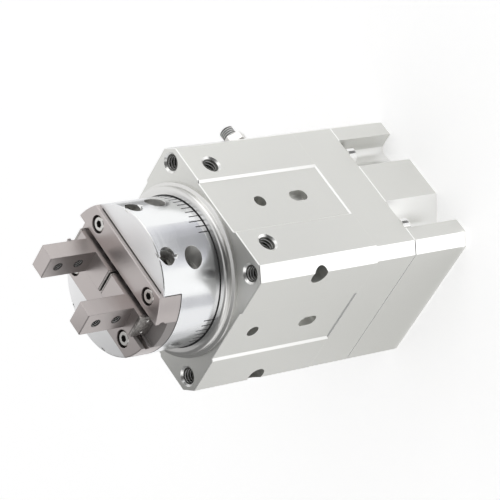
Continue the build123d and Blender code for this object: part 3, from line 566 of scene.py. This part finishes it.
# %% [markdown]
# ## Threads
# A tapped hole shows dark and bright lines, one for each turn of the thread. A thread is one
# section carried round an axis while it climbs: the Screw modifier does just that. The hole
# itself is smooth. The section is a blunt triangle on a thin foot, which is sunk in the hole's
# wall, and it is one pitch wide, so that each turn touches the next and the wall is covered.
# The crests get a near-white tone as a painted highlight, and the flanks a dark one as painted
# shade. One turn too many is made, and
# both ends are cut off square, so that the thread starts all round the hole at once.

# %% Screw ridge
crest_share = 0.3


def thread_ridge(name, root, crest, pitch, length, steps=28):
    """A helical ridge about Z, from z = 0 to its length. A crest under the root points inwards."""
    half = 0.5 * pitch
    flat = 0.16 * pitch
    valley = root + 0.12 * (crest - root)
    bpy.ops.object.select_all(action="DESELECT")
    bpy.ops.mesh.primitive_circle_add(vertices=6, radius=1.0)
    ridge = last_made(name)
    corners = (
        (root, -half), (valley, -half), (crest, -flat), (crest, flat), (valley, half), (root, half))
    for vertex, (reach, height) in zip(ridge.data.vertices, corners):
        vertex.co = (reach * MM, 0.0, (height + half) * MM)
    screw = ridge.modifiers.new("climb", "SCREW")
    screw.axis = "Z"
    screw.screw_offset = pitch * MM
    screw.iterations = math.ceil(length / pitch) + 1
    screw.steps = steps
    screw.render_steps = steps
    screw.use_merge_vertices = False
    bpy.ops.object.modifier_apply(modifier=screw.name)
    cut = bmesh.new()
    cut.from_mesh(ridge.data)
    bmesh.ops.translate(cut, verts=cut.verts, vec=(0.0, 0.0, -pitch * MM))
    for height, away in ((0.0, -1.0), (length * MM, 1.0)):
        bmesh.ops.bisect_plane(
            cut, geom=cut.verts[:] + cut.edges[:] + cut.faces[:], plane_co=(0.0, 0.0, height),
            plane_no=(0.0, 0.0, away), clear_outer=True)
    bmesh.ops.holes_fill(cut, edges=cut.edges[:], sides=0)
    cut.to_mesh(ridge.data)
    cut.free()
    return ridge


def threads(name, places, turn, body, slot, finish, root, crest, pitch, length):
    """Copies of one ridge at several places, turned from Z to the way of the holes."""
    first = thread_ridge(name, root, crest, pitch, length)
    ridges = [first] + [copied(first, name + "_copy") for _ in places[1:]]
    for ridge, place in zip(ridges, places):
        ridge.rotation_euler = turn
        ridge.location = Vector(place) * MM
    piece = settle(joined(ridges, name), body, slot, finish=finish)
    # Faces that look across the axis, mostly the crests, take the painted highlight; the flanks
    # keep the painted shade.
    piece.data.materials.append(materials["thread_crest"])
    axis = Vector((0.0, 0.0, 1.0))
    axis.rotate(Euler(turn))
    for face in piece.data.polygons:
        if abs(face.normal.dot(axis)) < crest_share:
            face.material_index = 1
    return piece


def mount(name):
    """A named interface of the record: its place in millimetres and its sizes."""
    found = next(m for m in frame["record"]["mounts"] if m["name"] == name)
    return Vector(found["pos_m"]) / MM, found["dims"]


# %% [markdown]
# The four corner holes and the two air ports have a thread with a pitch of 1 mm. Their
# places come from the record's mounts. Each thread ends just below the hole's chamfer.

# %% Threads of the body
coarse_pitch = 1.0
thread_rise = 0.48
thread_inset = 0.6
foot_sink = 0.02
front_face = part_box("front_body")[1].z / MM
corner_dims = mount("front_bolts")[1]
corner_reach = corner_dims["spacing_x_mm"] / 2
corner_radius = corner_dims["hole_r_mm"]
corner_depth = 9.2
corner_bottom = front_face - thread_inset - corner_depth
corner_places = [
    (x * corner_reach, y * corner_reach, corner_bottom) for x in (-1, 1) for y in (-1, 1)
]
threads(
    "corner_hole_threads", corner_places, (0, 0, 0), "housing", "anodised_body", "cut_aluminium",
    corner_radius + foot_sink, corner_radius - thread_rise, coarse_pitch, corner_depth)

port_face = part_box("front_body")[1].x / MM
port_depth = 7.2
port_places = []
for port in ("air_port_a", "air_port_b"):
    port_place, port_dims = mount(port)
    port_places.append((port_face - thread_inset - port_depth, port_place.y, port_place.z))
port_radius = port_dims["r_mm"]
threads(
    "air_port_threads", port_places, (0, math.radians(90), 0), "housing", "anodised_body",
    "cut_aluminium", port_radius + foot_sink, port_radius - thread_rise, coarse_pitch, port_depth)

# %% [markdown]
# The finger tabs have M3 holes with a pitch of 0.5 mm, cut right through. The stop screws carry
# the same form outside: there the crest is further out than the root.

# %% Threads of the fingers and stop screws
fine_pitch = 0.5
fine_rise = 0.27
tab_depth = 5.4
along_y = (math.radians(-90), 0, 0)
for letter in ("a", "b"):
    tab_place, tab_dims = mount("finger_" + letter + "_holes")
    tab_start = tab_place.y - tab_depth / 2
    tab_radius = tab_dims["hole_r_mm"]
    hole_step = tab_dims["spacing_y_mm"] / 2
    tab_places = [(0.0, tab_start, tab_place.z + step) for step in (-hole_step, hole_step)]
    threads(
        "finger_" + letter + "_threads", tab_places, along_y, "finger_" + letter, "finger_steel",
        "cut_steel", tab_radius + foot_sink, tab_radius - fine_rise, fine_pitch, tab_depth)

stop_pitch = 0.7
stop_rise = 0.22
nut_clearance = 0.05
plain_tip = 0.5
nut_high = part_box("lock_nuts")[1].y / MM
for letter in ("a", "b"):
    screw_low, screw_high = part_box("stop_screw_" + letter)
    screw_middle = (screw_low + screw_high) / 2 / MM
    screw_radius = (screw_high.x - screw_low.x) / 2 / MM
    shown_length = screw_high.y / MM - nut_high - plain_tip
    screw_places = [(screw_middle.x, nut_high + nut_clearance, screw_middle.z)]
    threads(
        "stop_screw_" + letter + "_threads", screw_places, along_y, "stop_screw_" + letter,
        "screw_steel", "screw_thread", screw_radius - foot_sink, screw_radius + stop_rise,
        stop_pitch, shown_length)

# %% [markdown]
# ## The angle scale
# Short engraved lines run round the rear of the head, one every five degrees, with a longer
# one at each quarter turn. The whole scale is turned by a small lead, and one stretch of it is
# left plain. The lines are ink-filled, so each is a thin dark bar whose face stands a hair proud
# of the metal. Every bar is made upright and then turned about Z.

# %% Scale lines
head_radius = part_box("gripper_body")[1].x / MM
scale_low = 87.55
short_mark = 91.0
long_mark = 92.2
mark_width = 0.38
mark_sink = 0.12
mark_proud = 0.03
mark_rounding = 0.04
mark_step = 5
scale_start = -105
scale_end = 195
plain_start = -80
plain_end = -10
scale_lead = 1.4


def scale_mark(degrees, top):
    """One bar of the scale at an angle round the head."""
    height = top - scale_low
    bpy.ops.object.select_all(action="DESELECT")
    bpy.ops.mesh.primitive_cube_add(size=1.0)
    bar = last_made("scale_mark")
    bar.scale = ((mark_sink + mark_proud) * MM, mark_width * MM, height * MM)
    bpy.ops.object.transform_apply(location=False, rotation=False, scale=True)
    rounding = bar.modifiers.new("rounding", "BEVEL")
    rounding.width = mark_rounding * MM
    rounding.segments = 1
    bpy.ops.object.modifier_apply(modifier=rounding.name)
    reach = head_radius + (mark_proud - mark_sink) / 2
    angle = math.radians(degrees)
    bar.rotation_euler = (0, 0, angle)
    bar.location = (
        reach * math.cos(angle) * MM,
        reach * math.sin(angle) * MM,
        (scale_low + height / 2) * MM,
    )
    return bar


scale_bars = []
for degrees in range(scale_start, scale_end + 1, mark_step):
    if plain_start < degrees < plain_end:
        continue
    top = long_mark if degrees % 90 == 0 else short_mark
    scale_bars.append(scale_mark(degrees - scale_lead, top))
settle(joined(scale_bars, "angle_scale"), "head", "turned_head", finish="scale_ink")

# %% [markdown]
# ## The ends of the shallow pockets
# Each side has a shallow pocket between its raised strips. The cutter leaves a slope at the
# foot of its rear end, narrower than those along its sides, and this slope catches the light. It
# is a wedge with five faces, made from one list of corners and turned to all four sides.

# %% Pocket ends
side_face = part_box("front_body")[1].x / MM
pocket_deep = 0.66
pocket_half = 10.33
pocket_end = 38.0
slope_size = 0.42
wedge_sink = 0.01
wedge_points = [
    (side_face - deep, side * (pocket_half - deep), pocket_end + ahead)
    for side in (-1, 1)
    for deep, ahead in (
        (pocket_deep - slope_size, -wedge_sink), (pocket_deep, -wedge_sink),
        (pocket_deep, slope_size))
]
wedge_faces = [(0, 1, 2), (3, 5, 4), (0, 3, 4, 1), (1, 4, 5, 2), (0, 2, 5, 3)]
wedges = []
for turn in range(4):
    mesh = bpy.data.meshes.new("pocket_end")
    mesh.from_pydata([Vector(point) * MM for point in wedge_points], [], wedge_faces)
    wedge = bpy.data.objects.new("pocket_end", mesh)
    bpy.context.scene.collection.objects.link(wedge)
    wedge.rotation_euler = (0, 0, math.radians(90 * turn))
    wedges.append(wedge)
# The wedges wear the near-white chamfer tone, a painted highlight on the slope.
settle(joined(wedges, "pocket_ends"), "housing", "anodised_body", finish="cut_chamfer")

# %% [markdown]
# ## Shade in the gap at the ring
# A thin black ring sits in the gap between the turning head and its ring, and draws a black line
# round the head: painted shade of the gap. Its section is a square, carried once round the axis
# by a Screw modifier that doesn't climb.

# %% Gap shade ring
shade_ring_inner = head_radius + 0.10
shade_ring_outer = head_radius + 0.32
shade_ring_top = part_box("bearing_retainer")[1].z / MM + 0.03
shade_ring_height = 0.2
shade_ring_bottom = shade_ring_top - shade_ring_height
bpy.ops.object.select_all(action="DESELECT")
bpy.ops.mesh.primitive_circle_add(vertices=4, radius=1.0)
dust_lip = last_made("dust_lip")
shade_ring_corners = (
    (shade_ring_inner, shade_ring_bottom), (shade_ring_outer, shade_ring_bottom), (shade_ring_outer, shade_ring_top), (shade_ring_inner, shade_ring_top))
for vertex, (reach, height) in zip(dust_lip.data.vertices, shade_ring_corners):
    vertex.co = (reach * MM, 0.0, height * MM)
shade_ring_screw = dust_lip.modifiers.new("round", "SCREW")
shade_ring_screw.axis = "Z"
shade_ring_screw.steps = 120
shade_ring_screw.render_steps = 120
shade_ring_screw.use_merge_vertices = True
shade_ring_screw.merge_threshold = 0.000001
bpy.ops.object.modifier_apply(modifier=shade_ring_screw.name)
# The ring's black finish is painted shade in the gap.
settle(dust_lip, "housing", "anodised_body", finish="seal_rubber")

# %% [markdown]
# ## Sockets of the guide screws
# The hexagon in each guide screw is a small cup: a prism with six sides whose upper face is
# deleted, given a thin wall by a Solidify modifier. It lines the socket of the solid screw, and
# its black is painted shade in the deep socket.

# %% Socket cups
socket_flats = 2.0
socket_depth = 1.1
socket_gap = 0.02
cup_wall = 0.03
guide_screw_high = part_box("guide_screws")[1]
guide_screw_radius = 2.25
socket_x = guide_screw_high.x / MM - guide_screw_radius
socket_y = guide_screw_high.y / MM - guide_screw_radius
socket_top = guide_screw_high.z / MM - socket_gap


def socket_cup(centre_x, centre_y):
    """An open cup with six sides, its mouth level with the screw's face."""
    bpy.ops.object.select_all(action="DESELECT")
    bpy.ops.mesh.primitive_cylinder_add(
        vertices=6, radius=(socket_flats / 2 / math.cos(math.radians(30)) - socket_gap) * MM,
        depth=socket_depth * MM)
    cup = last_made("socket_cup")
    bpy.ops.object.mode_set(mode="EDIT")
    bpy.ops.mesh.select_all(action="DESELECT")
    bpy.ops.object.mode_set(mode="OBJECT")
    for face in cup.data.polygons:
        face.select = face.normal.z > along_axis
    bpy.ops.object.mode_set(mode="EDIT")
    bpy.ops.mesh.delete(type="FACE")
    bpy.ops.object.mode_set(mode="OBJECT")
    wall = cup.modifiers.new("wall", "SOLIDIFY")
    wall.thickness = cup_wall * MM
    bpy.ops.object.modifier_apply(modifier=wall.name)
    cup.rotation_euler = (0, 0, math.radians(30))
    cup.location = (centre_x * MM, centre_y * MM, (socket_top - socket_depth / 2) * MM)
    return cup


cups = [socket_cup(x, y) for x in (-socket_x, socket_x) for y in (-socket_y, socket_y)]
# The cups' black is painted shade inside the sockets.
settle(joined(cups, "guide_screw_sockets"), "head", "screw_steel", finish="socket_black")

# %% [markdown]
# The guide lies in a seat across the head. The seat is a hair wider, and the joint lies in shade:
# thin black bars paint that shade as a dark line along both sides of the guide. On the head's round
# wall the same painted line runs down each side of the guide's ends and along under them.

# %% Joint lines
joint_width = 0.26
joint_height = 0.10
joint_trim = 3.0
guide_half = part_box("finger_guide")[1].x / MM
joint_length = 2 * math.sqrt(head_radius**2 - (guide_half + joint_width) ** 2) - joint_trim
joint_lines = []
for side in (-1, 1):
    bpy.ops.object.select_all(action="DESELECT")
    bpy.ops.mesh.primitive_cube_add(size=1.0)
    joint_line = last_made("joint_line")
    joint_line.scale = (joint_width * MM, joint_length * MM, joint_height * MM)
    joint_line.location = (side * (guide_half + joint_width / 2) * MM, 0, head_front * MM)
    joint_lines.append(joint_line)


wall_sink = 0.01
wall_overlap = 0.02
wall_top = head_front - 0.3


def wall_line(angle, middle_z, width, height):
    """A dark bar of painted shade on the head's round wall, at an angle in radians."""
    bpy.ops.object.select_all(action="DESELECT")
    bpy.ops.mesh.primitive_cube_add(size=1.0)
    bar = last_made("wall_line")
    bar.scale = (joint_height * MM, width * MM, height * MM)
    bar.rotation_euler = (0, 0, angle)
    bar.location = Vector((math.cos(angle), math.sin(angle), 0)) * (head_radius - wall_sink) * MM
    bar.location.z = middle_z * MM
    return bar


guide_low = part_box("finger_guide")[0].z / MM
half_turn = math.asin((guide_half + joint_width / 2) / head_radius)
arc_steps = 14
arc_part = 2 * half_turn / arc_steps
for end in (-90, 90):
    middle = math.radians(end)
    for side in (-1, 1):
        joint_lines.append(wall_line(
            middle + side * half_turn, (guide_low + wall_top) / 2, joint_width,
            wall_top - guide_low))
    for step in range(arc_steps):
        joint_lines.append(wall_line(
            middle - half_turn + (step + 0.5) * arc_part, guide_low,
            head_radius * arc_part + wall_overlap, joint_width))
# The bars' black finish is painted shade in the joint.
settle(joined(joint_lines, "guide_joint_lines"), "head", "guide_steel", finish="socket_black")

# %% [markdown]
# ## Screws of the end plates
# Each end plate is held by two tiny screws. The outer face of a flat cylinder is inset, and its
# middle is pushed in, which leaves a rim round a shallow recess.

# %% Plate screws
plate_screw_radius = 0.62
plate_screw_height = 0.30
plate_screw_rim = 0.28
plate_screw_recess = 0.16
plate_screw_offset = 0.08
plate_screw_x = 2.3


def plate_screw(name, place, outward):
    """A small pan head with a sunk middle, standing on the outer face of an end plate."""
    bpy.ops.object.select_all(action="DESELECT")
    bpy.ops.mesh.primitive_cylinder_add(
        vertices=24, radius=plate_screw_radius * MM, depth=plate_screw_height * MM)
    head = last_made(name)
    bpy.ops.object.mode_set(mode="EDIT")
    bpy.ops.mesh.select_all(action="DESELECT")
    bpy.ops.object.mode_set(mode="OBJECT")
    for face in head.data.polygons:
        face.select = face.normal.z > along_axis
    bpy.ops.object.mode_set(mode="EDIT")
    bpy.ops.mesh.inset(thickness=plate_screw_rim * MM)
    bpy.ops.transform.translate(value=(0, 0, -plate_screw_recess * MM))
    bpy.ops.object.mode_set(mode="OBJECT")
    head.rotation_euler = (math.radians(-90 * outward), 0, 0)
    head.location = Vector(place) * MM
    return head


for letter, outward in (("a", 1), ("b", -1)):
    plate_low, plate_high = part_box("end_plate_" + letter)
    plate_face = (plate_high.y if outward > 0 else plate_low.y) / MM
    plate_z = (plate_low.z + plate_high.z) / 2 / MM
    heads = [
        plate_screw("plate_screw", (x, plate_face + plate_screw_offset * outward, plate_z), outward)
        for x in (-plate_screw_x, plate_screw_x)
    ]
    settle(joined(heads, "end_plate_screws_" + letter), "finger_" + letter, "screw_steel")

# %% [markdown]
# ## Floor and light
# The floor is plain and pale, at the height of the rear face on which the gripper stands. The
# sides of the gripper are upright and the camera looks down on them, so all they mirror is this
# floor. It glows faintly, so that it stays white under the soft sky.

# %% Floor
bpy.ops.object.select_all(action="DESELECT")
bpy.ops.mesh.primitive_plane_add(size=12.0, location=(0, 0, 0))
floor = last_made("studio_floor")
floor_material = bpy.data.materials.new("studio_floor")
floor_material.use_nodes = True
floor_shader = floor_material.node_tree.nodes["Principled BSDF"]
floor_shader.inputs["Base Color"].default_value = (0.92, 0.92, 0.92, 1.0)
floor_shader.inputs["Roughness"].default_value = 0.9
floor_shader.inputs["Specular IOR Level"].default_value = 0.1
floor_shader.inputs["Emission Color"].default_value = (1.0, 1.0, 1.0, 1.0)
floor_shader.inputs["Emission Strength"].default_value = 0.42
floor.data.materials.append(floor_material)

# %% Sky and panels
object_middle = Vector((0.0, 0.0, 0.064))


def studio_point(right, up, toward):
    """A place given by how far right, up and towards the camera it is from the object."""
    return object_middle + camera_right * right + camera_up * up - camera_look * toward


def panel(name, place, target, width, height, power):
    """A soft rectangular light that faces a target."""
    light = bpy.data.lights.new(name, "AREA")
    light.shape = "RECTANGLE"
    light.size = width
    light.size_y = height
    light.energy = power
    lamp = bpy.data.objects.new(name, light)
    bpy.context.scene.collection.objects.link(lamp)
    lamp.location = place
    lamp.rotation_euler = (target - place).to_track_quat("-Z", "Y").to_euler()
    lamp.visible_camera = False


world = bpy.data.worlds.new("studio")
world.use_nodes = True
world.node_tree.nodes["Background"].inputs["Color"].default_value = (1.0, 1.0, 1.0, 1.0)
world.node_tree.nodes["Background"].inputs["Strength"].default_value = 0.62
bpy.context.scene.world = world
panel("top_panel", studio_point(0.1, 0.8, 0.25), object_middle, 0.7, 0.5, 1.5)

# %% [markdown]
# ## Cards for the reflections
# Bright metal has no colour of its own: it shows the studio. A photographer therefore lays white,
# grey and black cards just outside the picture. A card here is seen by reflections alone. The
# light that a wall sends to the camera comes from the floor in one direction: for a wall that
# faces the angle a round the Z axis, that is the angle 2a + 37 degrees. So a sector of a ring on
# the floor makes a band on the round head.

# %% Reflection cards
def card(name, corners, level):
    """A glowing card with the given corners, seen only in reflections."""
    mesh = bpy.data.meshes.new(name)
    mesh.from_pydata(corners, [], [tuple(range(len(corners)))])
    piece = bpy.data.objects.new(name, mesh)
    bpy.context.scene.collection.objects.link(piece)
    material = bpy.data.materials.new(name)
    material.use_nodes = True
    shader = material.node_tree.nodes["Principled BSDF"]
    shader.inputs["Base Color"].default_value = (0.0, 0.0, 0.0, 1.0)
    shader.inputs["Specular IOR Level"].default_value = 0.0
    shader.inputs["Emission Color"].default_value = tuple(level) + (1.0,)
    shader.inputs["Emission Strength"].default_value = 1.0
    mesh.materials.append(material)
    piece.visible_camera = False
    piece.visible_diffuse = False
    piece.visible_shadow = False
    piece.visible_transmission = False
    return piece


def floor_sector(name, start, end, inner, outer, level, height=0.0008):
    """A card on the floor, shaped as a sector of a ring round the Z axis."""
    steps = 12
    angles = [math.radians(start + (end - start) * index / steps) for index in range(steps + 1)]
    outside = [(outer * math.cos(a), outer * math.sin(a), height) for a in angles]
    inside = [(inner * math.cos(a), inner * math.sin(a), height) for a in reversed(angles)]
    return card(name, outside + inside, level)


sector_inner = 0.112
band_outer = 0.152
sector_outer = 0.17
band_blue = 1.07
head_bands = ((-34, -22, 0.62), (-22, -13, 0.40), (-13, 9, 0.24), (9, 20, 0.40), (20, 30, 0.62))
for start, end, level in head_bands:
    floor_sector(
        "head_band_card", start, end, sector_inner, band_outer, (level, level, level * band_blue))
for name, start, end, level in (
    ("head_low_band_card", -94, -76, (0.62, 0.62, 0.64)),
    ("head_low_white_card", -76, -34, (1.15, 1.15, 1.13)),
    ("head_high_white_card", 30, 70, (1.15, 1.15, 1.13)),
    ("head_top_card", 80, 104, (0.42, 0.42, 0.42)),
    ("head_rim_card", 104, 170, (0.95, 0.95, 0.95)),
    ("head_bottom_card", 195, 225, (0.60, 0.60, 0.60)),
):
    floor_sector(name, start, end, sector_inner, sector_outer, level)

# %% [markdown]
# The side of the block towards -Y and the chamfer next to it mirror one stretch of floor each. A
# card with four corners lies there, a little grey for the side and bright for the chamfer.

# %% Side and chamfer cards
side_corners = ((31.0, -27.2), (-58.0, -100.0), (-130.0, -100.0), (-31.0, -27.2))
chamfer_corners = ((22.5, -27.4), (45.0, -124.0), (120.0, -63.0), (27.4, -22.5))
for name, corners, height, level in (
    ("shade_side_card", side_corners, 0.8, (0.77, 0.77, 0.76)),
    ("chamfer_card", chamfer_corners, 1.2, (1.45, 1.45, 1.45)),
):
    card(name, [Vector((x, y, height)) * MM for x, y in corners], level)

# %% [markdown]
# The heads of the cover bolts are small, and each shows one dark band between two white ones. A
# dark card as small as a fingernail stands 3 mm in front of each head's groove.

# %% Bolt cards
bolt_card_x = 30.0
bolt_card_half = 2.0
bolt_card_low = 13.2
bolt_card_high = 16.8
for name, middle_y in (("upper_bolt_card", 14.8), ("lower_bolt_card", -13.9)):
    bolt_corners = [
        Vector((bolt_card_x, middle_y + side * bolt_card_half, up)) * MM
        for side, up in (
            (-1, bolt_card_low), (1, bolt_card_low), (1, bolt_card_high), (-1, bolt_card_high))
    ]
    card(name, bolt_corners, (0.20, 0.20, 0.20))

# %% [markdown]
# The front face mirrors the sky to the left of the picture. Three strips hang there, one below
# the other, from nearly white to dark: the face is light at its top and fades to grey below. Where
# the head hides these strips, the face mirrors the head, and the head mirrors the place of the
# camera. A dark card stands there too, as the photographer in dark clothes does. Further cards
# stand where the narrow chamfers look: a white edge card for those on one side of the block, a
# dark one for those on the other side, and a dark one for the rim of the head. One more dark card
# stands upright below the camera. It shows in faces that turn that way and lean back a little.

# %% Cards in the air
def hanging_card(name, middle, toward, down, top, bottom, half, level):
    """A card across a viewing direction, from top to bottom along its own down."""
    side = down.cross(toward)
    corners = [
        middle + down * along + side * across
        for along, across in ((top, -half), (top, half), (bottom, half), (bottom, -half))
    ]
    return card(name, corners, (level, level, level))


front_middle = Vector((0.0, 0.0, 0.084))
front_distance = 0.066
front_half = 0.13
card_distance = 0.5
low_card_distance = 0.30
camera_card_distance = 0.6
front_mirror = Vector((camera_look.x, camera_look.y, -camera_look.z))
card_down = (-camera_up - front_mirror * front_mirror.dot(-camera_up)).normalized()
card_middle = front_middle + front_mirror * front_distance
for name, top, bottom, level in (
    ("front_card_light", -0.16, 0.011, 0.98),
    ("front_card_middle", 0.011, 0.030, 0.60),
    ("front_card_dark", 0.030, 0.20, 0.22),
):
    hanging_card(name, card_middle, front_mirror, card_down, top, bottom, front_half, level)
for name, toward, half, level in (
    ("edge_card", Vector((0.653, 0.458, 0.603)), 0.14, 1.3),
    ("shade_edge_card", Vector((-0.603, -0.653, 0.458)), 0.10, 0.10),
    ("rim_card", Vector((0.685, 0.04, 0.715)), 0.088, 0.03),
    ("side_card", Vector((-0.04, -0.76, 0.653)), 0.16, 1.3),
):
    toward.normalize()
    toward_down = (Vector((0.0, 0.0, -1.0)) + toward * toward.z).normalized()
    hanging_card(
        name, object_middle + toward * card_distance, toward, toward_down, -half, half, half, level)
low_side = Vector((camera_place.x, camera_place.y, 0.0)).normalized()
hanging_card(
    "under_camera_card", low_side * low_card_distance, low_side, Vector((0.0, 0.0, -1.0)),
    top=-0.36, bottom=-0.004, half=0.13, level=0.04)
hanging_card(
    "camera_card", object_middle - camera_look * camera_card_distance, -camera_look, -camera_up,
    top=-0.30, bottom=0.30, half=0.30, level=0.03)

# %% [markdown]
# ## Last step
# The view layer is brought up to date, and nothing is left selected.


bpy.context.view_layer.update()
bpy.ops.object.select_all(action="DESELECT")
